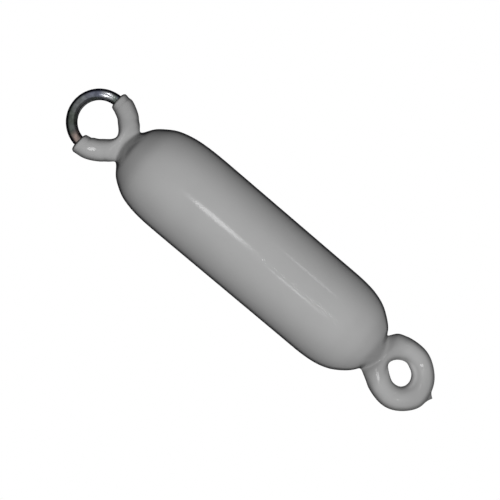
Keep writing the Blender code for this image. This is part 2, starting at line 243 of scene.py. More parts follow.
@dataclass(frozen=True)
class FenderForm:
    """The driving sizes of the fender, the same as in its CAD source."""

    rod: RodSizes = RodSizes()
    upper_eye_radius: float = 0.02385
    upper_eye_rise: float = 0.0300
    upper_leg_angle: float = math.radians(38.5)
    upper_left_bow: float = 0.0002
    upper_right_bow: float = 0.0011
    lower_eye_radius: float = 0.0200
    lower_eye_drop: float = 0.0213
    lower_leg_angle: float = math.radians(23)
    lower_eye_lean: float = math.radians(-5.2)
    lower_left_bow: float = 0.0004
    lower_right_bow: float = 0.0017
    bow_place: float = 0.0130
    bow_reach: float = 0.0082
    upper_body_radius: float = 0.0425
    lower_body_radius: float = 0.0417
    body_length: float = 0.2856
    body_offset: float = 0.0017
    upper_neck_offset: float = -0.0007
    upper_dome_length: float = 0.0788
    upper_dome_shoulder: float = 3.56
    upper_dome_point: float = 1.84
    lower_dome_length: float = 0.0782
    lower_dome_shoulder: float = 3.82
    lower_dome_point: float = 1.18
    core_end_radius: float = 0.012
    coat_thickness: float = 0.0043
    left_leg_coat: float = 0.0044
    right_leg_coat: float = 0.0039
    left_lip_coat: float = 0.0040
    left_lip_shift: float = 0.0007
    right_lip_coat: float = 0.0032
    right_lip_shift: float = 0.0005
    lower_eye_coat: float = 0.0049
    dip_line_height: float = 0.0015
    dip_line_tilt: float = math.radians(-3.1)

    @property
    def body_bottom(self) -> float:
        """Height of the body's lower tip."""
        return -self.upper_eye_rise - self.body_length

    def dip_line(self, x: float) -> float:
        """Height at which the coat ends, over a point of the X axis."""
        return self.dip_line_height + x * math.tan(self.dip_line_tilt)

    def upper_dome(self) -> Dome:
        """The rounded end below the steel eye."""
        return Dome(
            start=-self.upper_eye_rise - self.upper_dome_length,
            outwards=1,
            radius=self.upper_body_radius,
            length=self.upper_dome_length,
            shoulder=self.upper_dome_shoulder,
            point=self.upper_dome_point,
        )

    def lower_dome(self) -> Dome:
        """The rounded end above the coated eye."""
        return Dome(
            start=self.body_bottom + self.lower_dome_length,
            outwards=-1,
            radius=self.lower_body_radius,
            length=self.lower_dome_length,
            shoulder=self.lower_dome_shoulder,
            point=self.lower_dome_point,
        )

    def upper_eye(self) -> Eye:
        """The hanging eye, bare above the dip line."""
        return Eye(
            centre_x=0.0,
            centre_z=0.0,
            neck_x=self.upper_neck_offset,
            outwards=1,
            radius=self.upper_eye_radius,
            leg_angle=self.upper_leg_angle,
            lean=0.0,
            left_bow=self.upper_left_bow,
            right_bow=self.upper_right_bow,
            bow_place=self.bow_place,
            bow_reach=self.bow_reach,
            tip_side=Side.LEFT,
            left_coat=self.left_leg_coat,
            right_coat=self.right_leg_coat,
            rod=self.rod,
        )

    def lower_eye(self) -> Eye:
        """The eye below the body, coated all over."""
        return Eye(
            centre_x=self.body_offset,
            centre_z=self.body_bottom - self.lower_eye_drop,
            neck_x=self.body_offset,
            outwards=-1,
            radius=self.lower_eye_radius,
            leg_angle=self.lower_leg_angle,
            lean=self.lower_eye_lean,
            left_bow=self.lower_left_bow,
            right_bow=self.lower_right_bow,
            bow_place=self.bow_place,
            bow_reach=self.bow_reach,
            tip_side=Side.RIGHT,
            left_coat=self.lower_eye_coat,
            right_coat=self.lower_eye_coat,
            rod=self.rod,
        )

    def rod_route(self, arc_step: float, overrun: float = 0.0) -> Ring:
        """Points along the whole rod, from the tip of the upper eye to the tip of the lower one.

        Args:
            arc_step: Greatest angle between two points of an arc.
            overrun: How far the route goes on past both tips, as the room for the rod does.

        Returns:
            The points in the fender's frame.
        """
        upper = self.upper_eye().rod_points(arc_step, overrun)
        return upper + self.lower_eye().rod_points(arc_step, overrun)[::-1]


class Mixed(Enum):
    """What a Mix node blends: Blender's name of it, and the end of its sockets' names."""

    COLOUR = ("RGBA", "Color")
    VECTOR = ("VECTOR", "Vector")


class Wiring:
    """Adds nodes to one node tree and joins their sockets."""

    def __init__(self, tree: bpy.types.NodeTree) -> None:
        """Work on this tree."""
        self.tree = tree

    def feed(self, node: bpy.types.Node, inputs: dict[str | int, object]) -> None:
        """Link a socket to, or set the value of, each named or numbered input of a node."""
        for key, value in inputs.items():
            if isinstance(value, Socket):
                self.tree.links.new(value, node.inputs[key])
            else:
                node.inputs[key].default_value = value

    def add(
        self, kind: str, inputs: dict[str | int, object] | None = None, **settings: object
    ) -> bpy.types.Node:
        """Add one node.

        Args:
            kind: Blender's name of the node's type.
            inputs: Value, or output socket to link, for each named or numbered input.
            settings: Values of the node's own options.

        Returns:
            The new node.
        """
        node = self.tree.nodes.new(kind)
        for name, value in settings.items():
            setattr(node, name, value)
        self.feed(node, inputs or {})
        return node

    def math(self, operation: str, first: object, second: object) -> Socket:
        """The result of one sum of two values or sockets."""
        return self.add("ShaderNodeMath", {0: first, 1: second}, operation=operation).outputs[0]

    def product(self, *factors: object) -> Socket:
        """The product of two or more values or sockets."""
        result = factors[0]
        for factor in factors[1:]:
            result = self.math("MULTIPLY", result, factor)
        return result

    def rest(self, share: object) -> Socket:
        """What a share leaves of 1."""
        return self.math("SUBTRACT", 1.0, share)

    def vector(self, operation: str, *inputs: object) -> bpy.types.Node:
        """A node that works on vectors."""
        return self.add("ShaderNodeVectorMath", dict(enumerate(inputs)), operation=operation)

    def distance(self, place: Socket, point: Place) -> Socket:
        """How far places lie from a point."""
        return self.vector("DISTANCE", place, point).outputs["Value"]

    def mix(
        self, share: object, first: object, second: object, kind: Mixed = Mixed.COLOUR, blend: str = "MIX"
    ) -> Socket:
        """A blend of two colours or vectors.

        Args:
            share: How much of the second one is used.
            first: Value or socket.
            second: Value or socket.
            kind: What is mixed.
            blend: Blender's name of the way they mix.

        Returns:
            The blend's output socket.
        """
        data_type, ending = kind.value
        node = self.add("ShaderNodeMix", data_type=data_type, blend_type=blend)
        number = {socket.identifier: index for index, socket in enumerate(node.inputs)}
        first, second = ((*value, 1.0) if isinstance(value, tuple) else value for value in (first, second))
        self.feed(node, {
            number["Factor_Float"]: share, number[f"A_{ending}"]: first, number[f"B_{ending}"]: second
        })
        return next(socket for socket in node.outputs if socket.identifier == f"Result_{ending}")

    def ramp(self, value: object, low: float, high: float, to_low: float, to_high: float) -> Socket:
        """A value taken from one range to another, smoothly and without going past its ends."""
        node = self.add(
            "ShaderNodeMapRange",
            {"Value": value, "From Min": low, "From Max": high, "To Min": to_low, "To Max": to_high},
            interpolation_type="SMOOTHSTEP",
        )
        return node.outputs[0]

    def spread(self, noise: Socket, middle: float, change: float) -> Socket:
        """A value that goes up and down round its middle with a noise."""
        return self.ramp(noise, *NOISE_RANGE, middle - change / 2, middle + change / 2)

    def steps(self, value: Socket, stops: Stops) -> Socket:
        """A value read off a line through given stops.

        Args:
            value: What the line is read at.
            stops: Value and result at each stop, in rising order.

        Returns:
            The result's output socket.
        """
        low, high = stops[0][0], stops[-1][0]
        node = self.add("ShaderNodeMapRange", {"Value": value, "From Min": low, "From Max": high})
        ramp = self.add("ShaderNodeValToRGB", {"Fac": node.outputs[0]})
        elements = ramp.color_ramp.elements
        for index, (place, result) in enumerate(stops):
            share = (place - low) / (high - low)
            element = elements[index] if index < 2 else elements.new(share)
            element.position = share
            element.color = (*grey(result), 1.0)
        return ramp.outputs[0]

    def grey_colour(self, level: Socket) -> Socket:
        """A neutral colour of a changing level."""
        return self.add("ShaderNodeCombineColor", {0: level, 1: level, 2: level}).outputs[0]

    def object_place(self) -> Socket:
        """The place on the piece, in metres."""
        return self.add("ShaderNodeTexCoord").outputs["Object"]

    def parts(self, vector: Socket) -> Sequence[Socket]:
        """The three parts of a vector."""
        return self.add("ShaderNodeSeparateXYZ", {0: vector}).outputs

    def bump(self, height: Socket, relief: float) -> Socket:
        """The normal of a surface with a relief of given depth."""
        return self.add("ShaderNodeBump", {"Distance": relief, "Height": height}).outputs[0]

    def seen_directly(self) -> Socket:
        """1 for rays from the camera and for those that went through clear things, and 0 for others."""
        rays = self.add("ShaderNodeLightPath").outputs
        return self.math("MAXIMUM", rays["Is Camera Ray"], rays["Is Transmission Ray"])


@dataclass(frozen=True)
class UnevennessGroup:
    """Shader node group for the soft unevenness of a surface, used by every finish of the fender."""

    name: str = "soft_unevenness"
    inputs: tuple[str, ...] = ("Broad Scale", "Fine Scale", "Fine Share")
    broad_detail: float = 2.0
    broad_roughness: float = 0.45
    fine_detail: float = 3.0
    fine_roughness: float = 0.55

    def tree(self) -> bpy.types.NodeTree:
        """The group, built on its first use.

        Returns:
            A node tree with a broad mask, a fine mask and a height, each from 0 to 1.
        """
        found = bpy.data.node_groups.get(self.name)
        if found:
            return found
        tree = bpy.data.node_groups.new(self.name, "ShaderNodeTree")
        sockets = tree.interface
        sockets.new_socket("Place", in_out="INPUT", socket_type="NodeSocketVector")
        for name in self.inputs:
            sockets.new_socket(name, in_out="INPUT", socket_type="NodeSocketFloat")
        for name in ("Broad", "Fine", "Height"):
            sockets.new_socket(name, in_out="OUTPUT", socket_type="NodeSocketFloat")
        wiring = Wiring(tree)
        given = wiring.add("NodeGroupInput").outputs
        broad, fine = (
            wiring.add("ShaderNodeTexNoise", {
                "Vector": given["Place"], "Scale": given[scale], "Detail": detail, "Roughness": roughness
            }).outputs[0]
            for scale, detail, roughness in (
                ("Broad Scale", self.broad_detail, self.broad_roughness),
                ("Fine Scale", self.fine_detail, self.fine_roughness),
            )
        )
        share = given["Fine Share"]
        height = wiring.math("ADD", wiring.product(broad, wiring.rest(share)), wiring.product(fine, share))
        wiring.add("NodeGroupOutput", {"Broad": broad, "Fine": fine, "Height": height})
        return tree

    def place_in(self, wiring: Wiring, place: Socket, broad: float, fine: float, share: float) -> Outputs:
        """Put the group into a material.

        Args:
            wiring: The material's tree.
            place: Socket with the place on the surface.
            broad: Scale of the broad unevenness, per metre.
            fine: Scale of the fine unevenness, per metre.
            share: How much of the height the fine unevenness makes.

        Returns:
            The outputs of the group's node.
        """
        node = wiring.add("ShaderNodeGroup", node_tree=self.tree())
        wiring.feed(node, {"Place": place, "Broad Scale": broad, "Fine Scale": fine, "Fine Share": share})
        return node.outputs


def new_material(name: str) -> tuple[bpy.types.Material, Wiring, bpy.types.Node]:
    """A material with its shader.

    Args:
        name: The material's name.

    Returns:
        The material, the wiring of its tree and its Principled BSDF.
    """
    material = bpy.data.materials.new(name)
    material.use_nodes = True
    return material, Wiring(material.node_tree), material.node_tree.nodes["Principled BSDF"]


@dataclass(frozen=True)
class FlatSpot:
    """A small patch on the front where the coat set flat, so that it catches the light."""

    x: float
    z: float
    lean_x: float
    lean_z: float
    length: float
    width: float
    turn: float = 0.0
    front: float = -0.0100
    depth: float = 0.0040
    bend_until: float = 0.4
    bend_end: float = 1.2

    def bend(self, wiring: Wiring, place: Socket, normal: Socket) -> Socket:
        """Turn the normals of the patch to its own direction.

        Args:
            wiring: The material's tree.
            place: Socket with the place on the surface.
            normal: Socket with the normal.

        Returns:
            Socket with the new normal.
        """
        local = wiring.add("ShaderNodeMapping", {
            "Vector": place,
            "Location": (self.x, self.front, self.z),
            "Rotation": (0.0, -self.turn, 0.0),
            "Scale": (self.length / 2, self.depth, self.width / 2),
        }, vector_type="TEXTURE").outputs[0]
        away = wiring.vector("LENGTH", local).outputs["Value"]
        share = wiring.ramp(away, self.bend_until, self.bend_end, 1.0, 0.0)
        wanted = wiring.add(
            "ShaderNodeVectorTransform", {0: Vector((self.lean_x, -1.0, self.lean_z)).normalized()},
            vector_type="NORMAL", convert_from="OBJECT", convert_to="WORLD",
        ).outputs[0]
        return wiring.vector("NORMALIZE", wiring.mix(share, normal, wanted, Mixed.VECTOR)).outputs[0]


@dataclass(frozen=True)
class VinylFinish:
    """Glossy grey dipped vinyl: an even colour, a smooth run-out surface and a faint grain.

    The colour carries painted shade: darker at the rims, in the creases of both necks, under the lower eye
    and at its drip, along the dip line and on the right sleeve, where the coat would shade itself, and
    painted light beside the lower eye's hole. The gloss is dull in the creases.
    """

    colour: float = 0.345
    cloud_share: float = 0.02
    cloud_scale: float = 34.0
    grain_scale: float = 900.0
    grain_share: float = 0.25
    relief: float = 0.00006
    roughness: float = 0.13
    roughness_change: float = 0.04
    specular_level: float = 0.5
    specular_by_height: Stops = (
        (-0.3560, 0.3), (-0.3500, 1.0), (-0.3210, 1.0), (-0.3180, 0.3), (-0.3110, 0.3), (-0.3050, 1.0),
        (-0.0400, 1.0), (-0.0345, 0.3), (-0.0200, 0.3), (-0.0165, 1.0),
    )
    # painted shade by height: darker at the drip's tip, under the lower eye, on both domes near their necks
    # and in the neck creases
    painted_shade_by_height: Stops = (
        (-0.3704, 0.35), (-0.3690, 0.52), (-0.3676, 0.80), (-0.3582, 0.87), (-0.3504, 0.96),
        (-0.3273, 1.00), (-0.3205, 0.86), (-0.3153, 0.69), (-0.3100, 0.69), (-0.3033, 0.77),
        (-0.2965, 0.87), (-0.2879, 0.94), (-0.2245, 0.98), (-0.0660, 0.98), (-0.0531, 0.93),
        (-0.0446, 0.80), (-0.0377, 0.74), (-0.0326, 0.95), (-0.0291, 1.00),
    )
    # painted shade: the vinyl is painted darker where its surface turns away from the viewer, at every rim
    rim_shade_range: Range = (0.62, 0.82)
    rim_shade_level: float = 0.35
    # painted shade on both eyes: much darker at their rims, and a little darker all over
    upper_eye_fade: Range = (-0.036, -0.026)
    lower_eye_fade: Range = (-0.324, -0.314)
    eye_rim_shade_range: Range = (0.15, 0.65)
    eye_tone: float = 0.95
    eye_rim_shade_level: float = 0.5
    hole_place: Place = (0.0017, 0.0, -0.3366)
    hole_reach: float = 0.0150
    hole_rim_shade_start: float = 0.0120
    hole_rim_shade_share: float = 0.40
    # painted light: the vinyl is painted paler beside the lower eye's hole, on its right side
    hole_painted_light_start: float = 0.0105
    hole_painted_light: float = 0.7
    hole_painted_light_side: Range = (-0.006, 0.0)
    shade_place: Place = (0.022, 0.0, -0.008)
    shade_reach: float = 0.030
    shade_level: float = 0.86
    # painted shadow: a dark band just under the dip line, where the coat meets the steel
    lip_shadow_fade: Range = (0.0008, 0.0024)
    lip_shadow_level: float = 0.2
    spots: tuple[FlatSpot, ...] = (
        FlatSpot(-0.0219, -0.0108, 0.007, -0.115, 0.0112, 0.0046, math.radians(-54)),
        FlatSpot(-0.0118, -0.3211, -0.002, 0.169, 0.0158, 0.0038, math.radians(54)),
        FlatSpot(0.0193, -0.3440, -0.031, 0.192, 0.0044, 0.0044),
    )

    def tone(self, form: FenderForm, wiring: Wiring, place: Socket, noise: Socket) -> Socket:
        """How pale the vinyl is at each place.

        Args:
            form: The fender's sizes.
            wiring: The material's tree.
            place: Socket with the place on the surface.
            noise: Socket with the surface's unevenness.

        Returns:
            Socket with the level of grey.
        """
        x, _, z = wiring.parts(place)
        # painted shade at the rims, from how squarely the surface faces the viewer, eased near the lower
        # eye's hole
        facing = wiring.add("ShaderNodeLayerWeight", {"Blend": 0.5}).outputs["Facing"]
        in_plane = wiring.vector("MULTIPLY", place, (1.0, 0.0, 1.0)).outputs[0]
        from_hole = wiring.distance(in_plane, self.hole_place)
        rim_shade_share = wiring.ramp(from_hole, self.hole_rim_shade_start, self.hole_reach, self.hole_rim_shade_share, 1.0)
        rim_shade = wiring.product(wiring.ramp(facing, *self.rim_shade_range, 0.0, 1 - self.rim_shade_level), rim_shade_share)
        # painted shade on the eyes, strongest at their rims
        in_eye = wiring.math(
            "ADD",
            wiring.ramp(z, *self.upper_eye_fade, 0.0, 1.0),
            wiring.ramp(z, *self.lower_eye_fade, 1.0, 0.0),
        )
        eye_shaded_level = wiring.ramp(
            facing, *self.eye_rim_shade_range, self.eye_tone, self.eye_tone * self.eye_rim_shade_level
        )
        eye_rim_shade = wiring.product(in_eye, wiring.rest(eye_shaded_level), rim_shade_share)
        # painted light beside the lower eye's hole
        hole_painted_light = wiring.product(
            wiring.ramp(from_hole, self.hole_painted_light_start, self.hole_reach, self.hole_painted_light, 0.0),
            wiring.ramp(x, *self.hole_painted_light_side, 0.0, 1.0),
        )
        from_shade = wiring.distance(place, self.shade_place)
        tilt = wiring.product(x, math.tan(form.dip_line_tilt))
        lip_line = wiring.math("ADD", tilt, form.dip_line_height)
        return wiring.product(
            wiring.spread(noise, self.colour, 2 * self.cloud_share * self.colour),
            wiring.rest(rim_shade),
            # painted shade by height
            wiring.steps(z, self.painted_shade_by_height),
            wiring.math("ADD", 1.0, hole_painted_light),
            wiring.rest(eye_rim_shade),
            wiring.ramp(from_shade, self.shade_reach / 2, self.shade_reach, self.shade_level, 1.0),
            # painted shadow under the dip line
            wiring.ramp(wiring.math("SUBTRACT", lip_line, z), *self.lip_shadow_fade, self.lip_shadow_level, 1.0),
        )

    def build(self, form: FenderForm) -> bpy.types.Material:
        """Make the material.

        Args:
            form: The fender's sizes.

        Returns:
            The vinyl's material.
        """
        material, wiring, shader = new_material(Slot.VINYL.value)
        place = wiring.object_place()
        uneven = UnevennessGroup().place_in(
            wiring, place, self.cloud_scale, self.grain_scale, self.grain_share
        )
        normal = wiring.bump(uneven["Height"], self.relief)
        for spot in self.spots:
            normal = spot.bend(wiring, place, normal)
        gloss = wiring.steps(wiring.parts(place)[2], self.specular_by_height)
        wiring.feed(shader, {
            "Base Color": wiring.grey_colour(self.tone(form, wiring, place, uneven["Height"])),
            "Roughness": wiring.spread(uneven["Broad"], self.roughness, self.roughness_change),
            "Specular IOR Level": wiring.product(gloss, self.specular_level),
            "Normal": normal,
        })
        return material


@dataclass(frozen=True)
class SteelFinish:
    """Polished steel, dark where it mirrors the room, with faint heat and weather tints."""

    base: Colour = (0.40, 0.41, 0.42)
    blue: Colour = (0.27, 0.29, 0.42)
    blue_side: Range = (0.0, 0.02)
    blue_share: float = 0.8
    green: Colour = (0.33, 0.38, 0.32)
    green_range: Range = (0.45, 0.62)
    green_share: float = 0.8
    # painted shade: the steel's left side is painted darker
    left_shade_side: Range = (-0.018, 0.012)
    left_shade_level: float = 0.55
    mottle_range: Range = (0.35, 0.65)
    mottle_levels: Range = (0.7, 1.1)
    # painted highlight: pale steel round the hot spot, so that the glint there shows white
    painted_glint: Colour = (0.72, 0.72, 0.76)
    painted_glint_place: Place = (0.0219, -0.0050, 0.0090)
    painted_glint_reach: float = 0.008
    painted_glint_share: float = 0.85
    brown: Colour = (0.85, 0.62, 0.54)
    stain_place: Place = (-0.0225, 0.0, 0.0060)
    stain_reach: float = 0.009
    stain_range: Range = (0.35, 0.6)
    stain_least: float = 0.55
    roughness: float = 0.13
    roughness_change: float = 0.08
    tint_scale: float = 70.0
    scratch_scale: float = 260.0
    scratch_share: float = 0.4
    relief: float = 0.000001

    def build(self) -> bpy.types.Material:
        """Make the material.

        Returns:
            The steel's material.
        """
        material, wiring, shader = new_material(Slot.STEEL.value)
        place = wiring.object_place()
        uneven = UnevennessGroup().place_in(
            wiring, place, self.tint_scale, self.scratch_scale, self.scratch_share
        )
        x = wiring.parts(place)[0]
        bluish = wiring.product(wiring.ramp(x, *self.blue_side, 0.0, 1.0), self.blue_share)
        greenish = wiring.ramp(uneven["Broad"], *self.green_range, 0.0, self.green_share)
        # painted shade on the left side, times a random mottle
        level = wiring.product(
            wiring.ramp(x, *self.left_shade_side, self.left_shade_level, 1.0),
            wiring.ramp(uneven["Fine"], *self.mottle_range, *self.mottle_levels),
        )
        # painted highlight round the hot spot
        painted_glint = wiring.ramp(
            wiring.distance(place, self.painted_glint_place), self.painted_glint_reach / 3, self.painted_glint_reach,
            self.painted_glint_share, 0.0,
        )
        stained = wiring.product(
            wiring.ramp(
                wiring.distance(place, self.stain_place), self.stain_reach / 3, self.stain_reach, 1.0, 0.0
            ),
            wiring.ramp(uneven["Fine"], *self.stain_range, self.stain_least, 1.0),
        )
        colour = wiring.mix(bluish, self.base, self.blue)
        colour = wiring.mix(greenish, colour, self.green)
        colour = wiring.mix(1.0, colour, wiring.grey_colour(level), blend="MULTIPLY")
        colour = wiring.mix(painted_glint, colour, self.painted_glint)
        wiring.feed(shader, {
            "Base Color": wiring.mix(stained, colour, self.brown),
            "Metallic": 1.0,
            "Roughness": wiring.spread(uneven["Height"], self.roughness, self.roughness_change),
            "Normal": wiring.bump(uneven["Height"], self.relief),
        })
        return material


@dataclass(frozen=True)
class FoamFinish:
    """Closed-cell foam: pale, dull, with small cells."""

    colour: Colour = (0.85, 0.84, 0.80)
    cell_colour: Colour = (0.70, 0.69, 0.65)
    roughness: float = 0.9
    cloud_scale: float = 40.0
    cell_scale: float = 900.0
    cell_share: float = 0.5
    cell_range: Range = (0.1, 0.6)
    relief: float = 0.0003

    def build(self) -> bpy.types.Material:
        """Make the material.

        Returns:
            The foam's material.
        """
        material, wiring, shader = new_material(Slot.FOAM.value)
        place = wiring.object_place()
        cells = wiring.add("ShaderNodeTexVoronoi", {"Vector": place, "Scale": self.cell_scale}).outputs[0]
        uneven = UnevennessGroup().place_in(wiring, place, self.cloud_scale, self.cell_scale, self.cell_share)
        shade = wiring.product(wiring.ramp(cells, *self.cell_range, 0.0, 1.0), uneven["Broad"])
        wiring.feed(shader, {
            "Base Color": wiring.mix(shade, self.colour, self.cell_colour),
            "Roughness": self.roughness,
            "Normal": wiring.bump(cells, self.relief),
        })
        return material


@dataclass(frozen=True)
class FloorFinish:
    """A pale floor, nearly white in the picture, which still takes the fender's shadow."""

    colour: float = 0.5
    roughness: float = 0.8
    shown_level: float = 0.95
    shown_share: float = 0.8

    def build(self) -> bpy.types.Material:
        """Make the material.

        Returns:
            The floor's material.
        """
        material, wiring, shader = new_material("pale_floor")
        wiring.feed(shader, {"Base Color": (*grey(self.colour), 1.0), "Roughness": self.roughness})
        glow = wiring.add("ShaderNodeEmission", {"Color": (*grey(self.shown_level), 1.0)})
        share = wiring.product(wiring.seen_directly(), self.shown_share)
        mix = wiring.add("ShaderNodeMixShader", {0: share, 1: shader.outputs[0], 2: glow.outputs[0]})
        wiring.feed(material.node_tree.nodes["Material Output"], {"Surface": mix.outputs[0]})
        return material


@dataclass(frozen=True)
class BarTree:
    """Geometry Nodes that sweep a round bar along a path and close its ends."""

    name: str = "bar_along_path"
    weld: float = 1e-6
    inputs: tuple[tuple[str, str], ...] = (
        ("Path", "NodeSocketGeometry"),
        ("Radius", "NodeSocketFloat"),
        ("Sides", "NodeSocketInt"),
        ("Finish", "NodeSocketMaterial"),
    )

    def build(self) -> bpy.types.NodeTree:
        """Make the tree.

        Returns:
            A tree with the inputs Path, Radius, Sides and Finish.
        """
        tree = bpy.data.node_groups.new(self.name, "GeometryNodeTree")
        for name, kind in self.inputs:
            tree.interface.new_socket(name, in_out="INPUT", socket_type=kind)
        tree.interface.new_socket("Bar", in_out="OUTPUT", socket_type="NodeSocketGeometry")
        wiring = Wiring(tree)
        given = wiring.add("NodeGroupInput").outputs
        profile = wiring.add(
            "GeometryNodeCurvePrimitiveCircle", {"Resolution": given["Sides"], "Radius": given["Radius"]}
        )
        bar = wiring.add(
            "GeometryNodeCurveToMesh",
            {"Curve": given["Path"], "Profile Curve": profile.outputs["Curve"], "Fill Caps": True},
        )
        for kind, inputs in (
            ("GeometryNodeMergeByDistance", {"Distance": self.weld}),
            ("GeometryNodeSetShadeSmooth", {}),
            ("GeometryNodeRealizeInstances", {}),
            ("GeometryNodeSetMaterial", {"Material": given["Finish"]}),
        ):
            bar = wiring.add(kind, {"Geometry": bar.outputs[0], **inputs})
        wiring.add("NodeGroupOutput", {"Bar": bar.outputs[0]})
        return tree

    def sweep(
        self,
        name: str,
        route: Sequence[Vector],
        radius: float,
        sides: int,
        finish: bpy.types.Material | None = None,
    ) -> Mesh:
        """Sweep a bar and return it as a plain mesh.

        Args:
            name: Name of the mesh.
            route: Points of its middle line.
            radius: Radius of the bar.
            sides: Number of its faces around.
            finish: Material of the bar, where it is shown.

        Returns:
            The closed mesh.
        """
        curve = bpy.data.curves.new(f"{name}_path", "CURVE")
        curve.dimensions = "3D"
        spline = curve.splines.new("POLY")
        spline.points.add(len(route) - 1)
        for knot, place in zip(spline.points, route):
            knot.co = (*place, 1.0)
        spline.use_smooth = True
        path = new_object(f"{name}_path", curve)
        modifier = path.modifiers.new("Bar", "NODES")
        modifier.node_group = self.build()
        given = {"Radius": radius, "Sides": sides, "Finish": finish}
        for item in modifier.node_group.interface.items_tree:
            if item.in_out == "INPUT" and item.name in given and given[item.name] is not None:
                modifier[item.identifier] = given[item.name]
        mesh = plain_mesh(path)
        mesh.name = name
        bpy.data.objects.remove(path)
        return mesh


def plain_mesh(thing: bpy.types.Object) -> Mesh:
    """The mesh that an object has after its modifiers."""
    evaluated = thing.evaluated_get(bpy.context.evaluated_depsgraph_get())
    return bpy.data.meshes.new_from_object(evaluated)


def apply_modifiers(thing: bpy.types.Object) -> None:
    """Give an object the mesh that its modifiers make, and take them off."""
    mesh = plain_mesh(thing)
    thing.modifiers.clear()
    thing.data = mesh


def new_object(name: str, data: bpy.types.ID) -> bpy.types.Object:
    """An object of the scene that shows a mesh, a curve, a lamp or a camera."""
    thing = bpy.data.objects.new(name, data)
    bpy.context.scene.collection.objects.link(thing)
    return thing


def dress(piece: bpy.types.Object, finish: bpy.types.Material) -> None:
    """Give a piece its one material."""
    piece.data.materials.clear()
    piece.data.materials.append(finish)


def corner_angles(corners: int) -> list[float]:
    """Angles of the evenly spaced corners of a ring."""
    return [2 * math.pi * corner / corners for corner in range(corners)]


def turned_mesh(name: str, outline: Sequence[tuple[float, float]], centre_x: float, steps: int) -> Mesh:
    """A closed solid turned round an upright axis.

    Args:
        name: Name of the mesh.
        outline: Radius and height of each point, down the solid's outer side.
        centre_x: Place of the axis.
        steps: Number of faces around.

    Returns:
        The closed mesh, with its faces outwards.
    """
    shape = bmesh.new()
    rings = []
    for radius, height in outline:
        if radius == 0:
            rings.append([shape.verts.new((centre_x, 0.0, height))] * steps)
            continue
        rings.append([
            shape.verts.new((centre_x + radius * math.cos(angle), radius * math.sin(angle), height))
            for angle in corner_angles(steps)
        ])
    for first, second in zip(rings, rings[1:]):
        for step in range(steps):
            following = (step + 1) % steps
            corners = (first[step], first[following], second[following], second[step])
            shape.faces.new(list(dict.fromkeys(corners)))
    bmesh.ops.recalc_face_normals(shape, faces=shape.faces)
    mesh = bpy.data.meshes.new(name)
    shape.to_mesh(mesh)
    shape.free()
    return mesh


@dataclass(frozen=True)
class Lump:
    """A soft place where the wet coat gathered or ran thin."""

    x: float
    z: float
    reach: float
    height: float

    def share(self, places: np.ndarray) -> np.ndarray:
        """How much of the lump each place gets, from 0 to 1."""
        distance = np.hypot(places[:, 0] - self.x, places[:, 2] - self.z)
        return np.exp(-((distance / self.reach) ** 2))


@dataclass(frozen=True)
class Drip:
    """The frozen drip at the lowest point of the coat, steep on its right and long on its left."""

    offset: float = 0.0045
    length: float = 0.0036
    left_reach: float = 0.0085
    right_reach: float = 0.0050
    depth_reach: float = 0.0046
    power: float = 2.0
    refined_reach: float = 0.0090
    refine_cuts: int = 2

    def share(self, places: np.ndarray, tip_x: float) -> np.ndarray:
        """How far each place is pulled down, as a share of the drip's length."""
        aside = places[:, 0] - tip_x
        reach = np.where(aside < 0, self.left_reach, self.right_reach)
        away = np.hypot(aside / reach, places[:, 1] / self.depth_reach)
        return np.clip(1 - away, 0.0, 1.0) ** self.power


